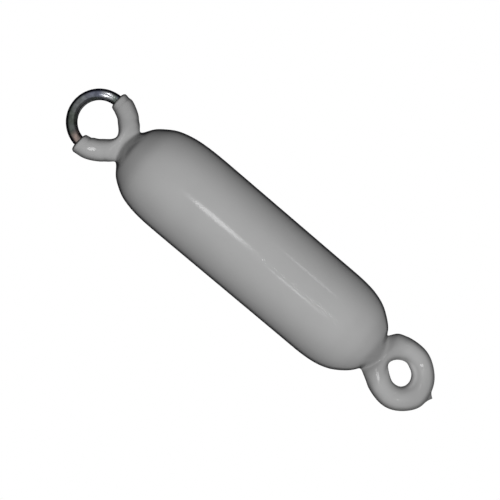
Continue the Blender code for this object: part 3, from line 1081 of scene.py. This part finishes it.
@dataclass
class CoatCage:
    """The coarse cage of the coat, whose smooth surface is the coat's outer form."""

    form: FenderForm
    body_sides: int = 8
    eye_sides: int = 6
    round_sections: int = 8
    dome_ring_shares: tuple[float, ...] = (0.53, 0.68, 0.84, 0.95, 1.0)
    lip_rounding: float = 0.0025
    lip_reach: float = 0.0060
    upper_parting: float = 0.0122
    lower_parting: float = 0.0127
    upper_web_height: float = 0.0037
    lower_web_height: float = 0.0108
    lower_web_fillet: float = 0.0013
    upper_web_drop: float = 0.0026
    web_half_thickness: float = 0.0092
    upper_waist_width: float = 0.0338
    lower_waist_width: float = 0.0372
    waist_depth: float = 0.0212
    upper_waist_rise: float = 0.0015
    lower_waist_rise: float = 0.0006
    fit_rounds: int = 24
    shape: bmesh.types.BMesh = field(default_factory=bmesh.new)

    def eye_section(self, eye: Eye, side: Side, at: tuple[float, float], turn: float) -> Ring:
        """Ring of cage points round a leg or the round part of an eye.

        Args:
            eye: The eye.
            side: The side of the eye.
            at: Middle of the ring in the eye's plane, as on the right side.
            turn: Angle from the outward direction to the ring's plane.

        Returns:
            The ring, with its first point on the eye's inner side.
        """
        centre = eye.place(side.value * at[0], at[1])
        radius = eye.sleeve_radius(side)
        ring = []
        for angle in corner_angles(self.eye_sides):
            inset = radius * math.cos(angle)
            offset = Vector((
                -side.value * inset * math.sin(turn),
                radius * math.sin(angle),
                -eye.outwards * inset * math.cos(turn),
            ))
            ring.append(centre + offset)
        return ring

    def leg_section(self, eye: Eye, side: Side, run: float, fillet: float = 0.0) -> Ring:
        """Cage ring round a straight leg.

        Args:
            eye: The eye.
            side: The side of the eye.
            run: Distance along the leg, past the round part.
            fillet: How far the ring's inner point is filled out towards the web.

        Returns:
            The ring, with its first point on the eye's inner side.
        """
        ring = self.eye_section(eye, side, eye.on_leg(run), eye.tangent_turn())
        ring[0].x -= side.value * fillet
        return ring

    def round_section(self, eye: Eye, side: Side, turn: float) -> Ring:
        """Cage ring round the round part of an eye."""
        return self.eye_section(eye, side, eye.on_round(turn), turn)

    def sleeve_end_section(self, side: Side, below: float, radius: float, shift: float) -> Ring:
        """Cage ring of a sleeve end of the upper eye.

        Args:
            side: The leg's side.
            below: Distance below the dip line.
            radius: Radius of the ring.
            shift: How far the ring's middle lies outside the rod's.

        Returns:
            The ring, level with the dip line.
        """
        eye = self.form.upper_eye()
        height = self.form.dip_line(side.value * eye.radius) - below
        centre_x = side.value * (math.sqrt(eye.radius ** 2 - height ** 2) + shift)
        ring = []
        for angle in corner_angles(self.eye_sides):
            x = centre_x - side.value * radius * math.cos(angle)
            ring.append(Vector((x, radius * math.sin(angle), self.form.dip_line(x) - below)))
        return ring

    def body_section(self, centre_x: float, radius_x: float, radius_y: float, heights: list[float]) -> Ring:
        """Ring of cage points round the body, the first one at +X, with the height of each point."""
        return [
            Vector((centre_x + radius_x * math.cos(angle), radius_y * math.sin(angle), height))
            for angle, height in zip(corner_angles(self.body_sides), heights)
        ]

    def waist_section(self, dome: Dome, eye: Eye, width: float, rise: float) -> Ring:
        """Cage ring of a neck, standing a little proud of the dome."""
        heights = []
        for angle in corner_angles(self.body_sides):
            radius = math.hypot(width / 2 * math.cos(angle), self.waist_depth / 2 * math.sin(angle))
            heights.append(dome.height(radius / dome.radius) + dome.outwards * rise)
        return self.body_section(eye.neck_x, width / 2, self.waist_depth / 2, heights)

    def dome_section(self, dome: Dome, eye: Eye, fraction: float) -> Ring:
        """Cage ring of a dome, which leans over to its eye towards the neck."""
        form = self.form
        height = dome.height(fraction)
        climb = (height - dome.start) / (dome.outwards * dome.length)
        centre_x = form.body_offset + (eye.neck_x - form.body_offset) * climb ** 2
        radius = dome.radius * fraction
        return self.body_section(centre_x, radius, radius, [height] * self.body_sides)

    def body_rings(self) -> list[Ring]:
        """Cage rings of the body between its two waists, from top to bottom."""
        form = self.form
        upper, lower = form.upper_dome(), form.lower_dome()
        upper_eye, lower_eye = form.upper_eye(), form.lower_eye()
        shares = self.dome_ring_shares
        rings = [self.waist_section(upper, upper_eye, self.upper_waist_width, self.upper_waist_rise)]
        rings += [self.dome_section(upper, upper_eye, share) for share in shares]
        middle = [(upper.start + lower.start) / 2] * self.body_sides
        middle_radius = (upper.radius + lower.radius) / 2
        rings.append(self.body_section(form.body_offset, middle_radius, middle_radius, middle))
        rings += [self.dome_section(lower, lower_eye, share) for share in reversed(shares)]
        rings.append(self.waist_section(lower, lower_eye, self.lower_waist_width, self.lower_waist_rise))
        return rings

    def add_ring(self, points: Iterable[Vector]) -> CageRing:
        """Vertices of one cage ring."""
        return [self.shape.verts.new(point) for point in points]

    def bridge(self, first: CageRing, second: CageRing) -> None:
        """Quads between two closed cage rings with as many points."""
        for index in range(len(first)):
            following = (index + 1) % len(first)
            self.shape.faces.new((first[index], first[following], second[following], second[index]))

    def add_tube(self, base: CageRing, sections: Iterable[Ring]) -> CageRing:
        """Cage rings of a tube.

        Args:
            base: The ring that the tube starts from.
            sections: The rings that follow it.

        Returns:
            The vertices of the last ring.
        """
        last = base
        for section in sections:
            following = self.add_ring(section)
            self.bridge(last, following)
            last = following
        return last

    def parted_neck(
        self,
        eye: Eye,
        waist: CageRing,
        parting: float,
        web_height: float,
        web_drop: float = 0.0,
    ) -> tuple[CageRing, CageRing]:
        """The neck between a waist and the place where it parts into two legs.

        Args:
            eye: The eye above or below the neck.
            waist: The neck's ring at the body.
            parting: Distance of each leg's line from the axis where the neck parts.
            web_height: How far the web reaches into the eye past the crossing of the coats.
            web_drop: How far the web's front and back lie nearer to the body than the legs' sections.

        Returns:
            The rings that the right and the left leg start from.
        """
        run = eye.leg_run(parting)
        right = self.leg_section(eye, Side.RIGHT, run)
        left = self.leg_section(eye, Side.LEFT, run)
        middle = (right[1] + left[1]) / 2
        height = middle.z - eye.outwards * web_drop
        back = Vector((middle.x, self.web_half_thickness, height))
        front = Vector((middle.x, -self.web_half_thickness, height))
        ring = self.add_ring([right[3], right[2], back, left[2], left[3], left[4], front, right[4]])
        self.bridge(waist, ring)
        inner_crossing = eye.crossing() + eye.mean_sleeve_radius() / math.sin(eye.leg_angle)
        web = self.shape.verts.new(eye.place(0.0, inner_crossing + web_height))
        right_base = [web, ring[2], ring[1], ring[0], ring[7], ring[6]]
        left_base = [web, ring[2], ring[3], ring[4], ring[5], ring[6]]
        return right_base, left_base

    def add_upper_sleeves(self, waist: CageRing) -> None:
        """The two coated legs of the upper eye, up to the dip line."""
        form = self.form
        eye = form.upper_eye()
        bases = self.parted_neck(eye, waist, self.upper_parting, self.upper_web_height, self.upper_web_drop)
        right_lip = (Side.RIGHT, bases[0], form.right_lip_coat, form.right_lip_shift)
        left_lip = (Side.LEFT, bases[1], form.left_lip_coat, form.left_lip_shift)
        for side, base, coat, shift in (right_lip, left_lip):
            radius = eye.rod.bore_radius + coat
            between = (eye.sleeve_radius(side) + radius) / 2
            corner = self.lip_rounding * (1 - math.cos(math.pi / 4))
            sections = [
                self.leg_section(eye, side, eye.leg_run(self.upper_parting) / 2),
                self.round_section(eye, side, eye.tangent_turn()),
                self.round_section(eye, side, (eye.tangent_turn() + math.pi / 2) / 2),
                self.sleeve_end_section(side, self.lip_reach, between, shift / 2),
                self.sleeve_end_section(side, self.lip_rounding, radius, shift),
                self.sleeve_end_section(side, corner, radius - corner, shift),
                self.sleeve_end_section(side, 0.0, radius - self.lip_rounding, shift),
                self.sleeve_end_section(side, 0.0, eye.rod.radius / 2, 0.0),
            ]
            self.shape.faces.new(self.add_tube(base, sections))

    def add_lower_eye(self, waist: CageRing) -> None:
        """The lower eye's coat, closed all the way round."""
        eye = self.form.lower_eye()
        right, left = self.parted_neck(eye, waist, self.lower_parting, self.lower_web_height)
        half_leg = eye.leg_run(self.lower_parting) / 2
        turn = eye.tangent_turn()
        turns = [turn - 2 * turn * step / self.round_sections for step in range(self.round_sections + 1)]
        sections = [self.leg_section(eye, Side.RIGHT, half_leg, self.lower_web_fillet)]
        sections += [self.round_section(eye, Side.RIGHT, angle) for angle in turns]
        sections.append(self.leg_section(eye, Side.LEFT, half_leg, self.lower_web_fillet))
        self.bridge(self.add_tube(right, sections), left)

    def smooth_position(self, vertex: bmesh.types.BMVert) -> Vector:
        """Where the smooth surface lies over a cage vertex that only quads meet."""
        count = len(vertex.link_edges)
        total = vertex.co * count ** 2
        for edge in vertex.link_edges:
            total += 4 * edge.other_vert(vertex).co
        for face in vertex.link_faces:
            opposite = (list(face.verts).index(vertex) + 2) % 4
            total += face.verts[opposite].co
        return total / (count * (count + 5))

    def fit(self) -> None:
        """Move the cage out until its smooth surface runs through the places where its vertices were put."""
        wanted = {
            vertex: vertex.co.copy() for vertex in self.shape.verts
            if all(len(face.verts) == 4 for face in vertex.link_faces)
        }
        for _ in range(self.fit_rounds):
            moves = {vertex: place - self.smooth_position(vertex) for vertex, place in wanted.items()}
            for vertex, move in moves.items():
                vertex.co += move

    def build(self, name: str) -> Mesh:
        """Make the cage.

        Args:
            name: Name of the mesh.

        Returns:
            The coarse, closed mesh.
        """
        rings = [self.add_ring(ring) for ring in self.body_rings()]
        for first, second in zip(rings, rings[1:]):
            self.bridge(first, second)
        self.add_upper_sleeves(rings[0])
        self.add_lower_eye(rings[-1])
        bmesh.ops.recalc_face_normals(self.shape, faces=self.shape.faces)
        self.fit()
        mesh = bpy.data.meshes.new(name)
        self.shape.to_mesh(mesh)
        self.shape.free()
        return mesh


@dataclass
class VinylCoat:
    """The thick grey coat, dipped in one go over the body, both necks and the eyes."""

    form: FenderForm
    finish: VinylFinish = VinylFinish()
    drip: Drip = Drip()
    lumps: tuple[Lump, ...] = (
        Lump(x=-0.0078, z=-0.3668, reach=0.0100, height=0.0013),
        Lump(x=0.0256, z=-0.3536, reach=0.0120, height=-0.0007),
        Lump(x=-0.0067, z=-0.3428, reach=0.0080, height=0.0006),
    )
    smooth_levels: int = 4
    true_until: float = 0.55
    true_fade: float = 0.30
    hollow_steps: int = 48
    hollow_dome_steps: int = 12
    bore_sides: int = 32
    arc_step: float = math.radians(5)
    crease_angle: float = math.radians(50)

    def build(self) -> bpy.types.Object:
        """Make the coat.

        Returns:
            The finished piece.
        """
        coat = new_object(SKIN, CoatCage(self.form).build(SKIN))
        smooth = coat.modifiers.new("Smooth", "SUBSURF")
        smooth.levels = self.smooth_levels
        smooth.render_levels = self.smooth_levels
        apply_modifiers(coat)
        self.refine_under_drip(coat.data)
        self.true_up(coat.data)
        self.add_lumps(coat.data)
        self.pull_drip(coat.data)
        self.hollow_out(coat)
        coat.data.shade_smooth()
        coat.data.set_sharp_from_angle(angle=self.crease_angle)
        dress(coat, self.finish.build(self.form))
        return coat

    def tip_place(self) -> Vector:
        """The point of the smooth coat that the drip hangs from."""
        eye = self.form.lower_eye()
        reach = eye.radius + eye.sleeve_radius(Side.RIGHT)
        return eye.place(self.drip.offset, math.sqrt(reach ** 2 - self.drip.offset ** 2))

    def refine_under_drip(self, mesh: Mesh) -> None:
        """Split the faces round the drip's place, so that it has enough of them."""
        tip = self.tip_place()
        shape = bmesh.new()
        shape.from_mesh(mesh)
        near = [
            edge for edge in shape.edges
            if all((vertex.co - tip).length < self.drip.refined_reach for vertex in edge.verts)
        ]
        bmesh.ops.subdivide_edges(shape, edges=near, cuts=self.drip.refine_cuts, use_grid_fill=True)
        shape.to_mesh(mesh)
        shape.free()

    def true_up(self, mesh: Mesh) -> None:
        """Make the sections of the body and of the domes' outer parts exact circles."""
        form = self.form
        places = read_places(mesh)
        heights = places[:, 2]
        moved = places.copy()
        for dome, eye in ((form.upper_dome(), form.upper_eye()), (form.lower_dome(), form.lower_eye())):
            climb = dome.climb(heights)
            beyond = dome.outwards * (heights - dome.start) > dome.length
            centre = form.body_offset + (eye.neck_x - form.body_offset) * climb ** 2
            aside = places[:, :2] - np.column_stack((centre, np.zeros(len(centre))))
            radius = np.maximum(np.linalg.norm(aside, axis=1), 1e-6)
            wanted = self.body_radius(heights) * dome.fraction(heights)
            keep = np.clip((climb - self.true_until) / self.true_fade, 0.0, 1.0)
            share = (1 - keep * keep * (3 - 2 * keep)) * ~beyond
            half = dome.outwards * (heights - (form.upper_dome().start + form.lower_dome().start) / 2) >= 0
            push = (share * (wanted / radius - 1) * half)[:, None]
            moved[:, :2] += aside * push
        write_places(mesh, moved)

    def body_radius(self, heights: np.ndarray) -> np.ndarray:
        """Radius of the body between its domes, which narrows a little downwards."""
        upper, lower = self.form.upper_dome(), self.form.lower_dome()
        return np.interp(heights, (lower.start, upper.start), (lower.radius, upper.radius))

    def add_lumps(self, mesh: Mesh) -> None:
        """Raise the places where the wet coat gathered, and lower those where it ran thin."""
        places, normals = read_places(mesh), read_normals(mesh)
        for lump in self.lumps:
            places += normals * (lump.share(places) * lump.height)[:, None]
        write_places(mesh, places)

    def pull_drip(self, mesh: Mesh) -> None:
        """Pull the drip down from the lower eye."""
        tip = self.tip_place()
        places, normals = read_places(mesh), read_normals(mesh)
        under = np.clip(-normals[:, 2] * 2, 0.0, 1.0) * (places[:, 2] < self.form.lower_eye().centre_z)
        outer = places[:, 2] < tip.z + self.form.lower_eye().sleeve_radius(Side.RIGHT)
        places[:, 2] -= self.drip.length * self.drip.share(places, tip.x) * under * outer
        write_places(mesh, places)

    def core_outline(self) -> list[tuple[float, float]]:
        """Radius and height of the room for the core, down its side."""
        form = self.form
        outline = []
        for dome in (form.upper_dome(), form.lower_dome()):
            radius = dome.radius - form.coat_thickness
            first = math.asin(form.core_end_radius / radius)
            half = []
            for step in range(self.hollow_dome_steps + 1):
                share = math.sin(first + (math.pi / 2 - first) * step / self.hollow_dome_steps)
                half.append((radius * share, dome.height(share, form.coat_thickness)))
            half.insert(0, (0.0, half[0][1]))
            outline += half if dome.outwards > 0 else half[::-1]
        return outline

    def hollow_out(self, coat: bpy.types.Object) -> None:
        """Cut the rooms for the core and for the rod, which opens both sleeve ends."""
        axis = self.form.body_offset
        room = turned_mesh("core_room", self.core_outline(), axis, self.hollow_steps)
        hollow = new_object("core_room", room)
        rod = self.form.rod
        route = self.form.rod_route(self.arc_step, rod.clearance)
        bore = new_object("rod_room", BarTree().sweep("rod_room", route, rod.bore_radius, self.bore_sides))
        for cutter in (hollow, bore):
            cut = coat.modifiers.new(cutter.name, "BOOLEAN")
            cut.operation = "DIFFERENCE"
            cut.solver = "EXACT"
            cut.object = cutter
        apply_modifiers(coat)
        for cutter in (hollow, bore):
            bpy.data.objects.remove(cutter)


def read_places(mesh: Mesh) -> np.ndarray:
    """The vertices' places as rows of three."""
    places = np.empty(len(mesh.vertices) * 3, np.float32)
    mesh.vertices.foreach_get("co", places)
    return places.reshape(-1, 3).astype(float)


def read_normals(mesh: Mesh) -> np.ndarray:
    """The vertices' normals as rows of three."""
    normals = np.empty(len(mesh.vertices) * 3, np.float32)
    mesh.vertex_normals.foreach_get("vector", normals)
    return normals.reshape(-1, 3).astype(float)


def write_places(mesh: Mesh, places: np.ndarray) -> None:
    """Move the vertices to new places."""
    mesh.vertices.foreach_set("co", places.astype(np.float32).ravel())
    mesh.update()


@dataclass
class EyeRod:
    """The steel rod, bare where it forms the hanging eye."""

    form: FenderForm
    finish: SteelFinish = SteelFinish()
    sides: int = 48
    arc_step: float = math.radians(3)
    crease_angle: float = math.radians(50)

    def build(self) -> bpy.types.Object:
        """Make the rod.

        Returns:
            The finished piece.
        """
        route = self.form.rod_route(self.arc_step)
        mesh = BarTree().sweep(ROD, route, self.form.rod.radius, self.sides, self.finish.build())
        mesh.set_sharp_from_angle(angle=self.crease_angle)
        return new_object(ROD, mesh)


@dataclass
class FoamCore:
    """The foam core, as the CAD has it."""

    node: bpy.types.Object
    finish: FoamFinish = FoamFinish()

    def dress(self) -> None:
        """Give the CAD node its finish."""
        dress(self.node, self.finish.build())


@dataclass(frozen=True)
class Lamp:
    """One soft lamp that faces the fender."""

    name: str
    place: Place
    width: float
    height: float
    power: float
    in_gloss: bool = True
    lit_piece: str = ""
    roll: float = 0.0
    aim: Place = (0.0, 0.0, -0.169)

    def build(self) -> None:
        """Add the lamp to the scene."""
        data = bpy.data.lights.new(self.name, "AREA")
        data.shape = "ELLIPSE"
        data.size = self.width
        data.size_y = self.height
        data.energy = self.power
        thing = new_object(self.name, data)
        thing.location = self.place
        towards = Vector(self.aim) - Vector(self.place)
        turn = towards.to_track_quat("-Z", "Y") @ Quaternion((0.0, 0.0, 1.0), math.radians(-self.roll))
        thing.rotation_euler = turn.to_euler()
        thing.visible_camera = False
        thing.visible_glossy = self.in_gloss
        if self.lit_piece:
            lit = bpy.data.collections.new(f"lit_by_{self.name}")
            lit.objects.link(bpy.data.objects[self.lit_piece])
            thing.light_linking.receiver_collection = lit


@dataclass
class Studio:
    """Floor, background, lamps and camera."""

    view_width: float = 0.42843
    view_centre: tuple[float, float] = (-0.0003, -0.1692)
    camera_distance: float = 1.10
    camera_roll: float = math.radians(49.75)
    lens_sensor: float = 36.0
    floor_height: float = -0.90
    floor_radius: float = 1.5
    floor_sides: int = 96
    surround_level: float = 0.02
    mirrored_dark: Colour = (0.008, 0.008, 0.012)
    mirrored_pale: Colour = (0.42, 0.43, 0.43)
    mirrored_front: Range = (0.1, 0.95)
    lamps: tuple[Lamp, ...] = (
        Lamp("front_key", (-0.16, -3.00, -0.68), 0.80, 0.80, 97.0, in_gloss=False),
        Lamp("back_key", (0.05, 1.10, -0.10), 0.40, 0.40, 9.0, in_gloss=False),
        Lamp("streak", (-0.0285, -1.10, -0.108), 0.20, 0.10, 0.38, lit_piece=SKIN),
        Lamp("left_glint", (-0.193, -1.08, -0.283), 0.07, 0.10, 0.08, lit_piece=SKIN),
        Lamp("right_glint", (0.735, -0.82, -0.283), 0.07, 0.10, 0.055, lit_piece=SKIN),
        Lamp("ring_outer", (0.599, -1.10, 0.415), 0.80, 0.05, 0.45, lit_piece=ROD, roll=-22.3),
        Lamp("ring_inner", (-0.511, -1.10, -0.041), 0.80, 0.05, 0.45, lit_piece=ROD, roll=-22.3),
    )

    def build(self) -> None:
        """Set up everything that isn't part of the fender."""
        self.add_floor()
        self.set_world()
        for lamp in self.lamps:
            lamp.build()
        self.add_camera()
        bpy.context.scene.view_settings.view_transform = "Standard"

    def add_floor(self) -> None:
        """A round pale floor under the hanging fender."""
        shape = bmesh.new()
        bmesh.ops.create_circle(shape, cap_ends=True, segments=self.floor_sides, radius=self.floor_radius)
        bmesh.ops.translate(shape, verts=shape.verts, vec=(0.0, 0.0, self.floor_height))
        bmesh.ops.recalc_face_normals(shape, faces=shape.faces)
        mesh = bpy.data.meshes.new("floor")
        shape.to_mesh(mesh)
        shape.free()
        mesh.materials.append(FloorFinish().build())
        new_object("floor", mesh)

    def set_world(self) -> None:
        """White behind the fender, dim all round it, and dark where the steel mirrors the room."""
        world = bpy.data.worlds.new("studio")
        world.use_nodes = True
        bpy.context.scene.world = world
        wiring = Wiring(world.node_tree)
        y = wiring.parts(wiring.add("ShaderNodeTexCoord").outputs["Generated"])[1]
        front = wiring.ramp(wiring.product(y, -1.0), *self.mirrored_front, 0.0, 1.0)
        mirrored = wiring.mix(front, self.mirrored_dark, self.mirrored_pale)
        rays = wiring.add("ShaderNodeLightPath").outputs
        surround = wiring.mix(rays["Is Glossy Ray"], grey(self.surround_level), mirrored)
        colour = wiring.mix(wiring.seen_directly(), surround, grey(1.0))
        wiring.feed(world.node_tree.nodes["Background"], {"Color": colour})

    def add_camera(self) -> None:
        """The camera, level and rolled as in the photograph."""
        data = bpy.data.cameras.new("camera")
        data.sensor_width = self.lens_sensor
        data.lens = self.lens_sensor * self.camera_distance / self.view_width
        camera = new_object("camera", data)
        bpy.context.scene.camera = camera
        turn = self.camera_roll
        right = Vector((math.cos(turn), 0.0, -math.sin(turn)))
        up = Vector((math.sin(turn), 0.0, math.cos(turn)))
        back = right.cross(up)
        middle = Vector((self.view_centre[0], 0.0, self.view_centre[1]))
        axes = Matrix((right, up, back)).transposed().to_4x4()
        camera.matrix_world = Matrix.Translation(middle + back * self.camera_distance) @ axes


def ride(piece: bpy.types.Object, replaced: str) -> None:
    """Let a new piece stand for a CAD node, on the fender's body.

    Args:
        piece: The new piece.
        replaced: Name of the CAD node.
    """
    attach(piece, BODY)
    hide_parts(replaced)
    report(piece)


def report(piece: bpy.types.Object) -> None:
    """Say what a finished piece holds."""
    corners = sum(len(face.vertices) - 2 for face in piece.data.polygons)
    LOG.info("%s: %d triangles", piece.name, corners)


def main() -> None:
    """Build the fender's looks and the studio."""
    logging.basicConfig(level=logging.INFO, format="%(name)s: %(message)s")
    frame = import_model()
    form = FenderForm()
    ride(VinylCoat(form).build(), "vinyl_coat")
    ride(EyeRod(form).build(), "eye_rod")
    core = frame["nodes"]["foam_core"]
    FoamCore(core).dress()
    report(core)
    Studio().build()


if __name__ == "__main__":
    main()
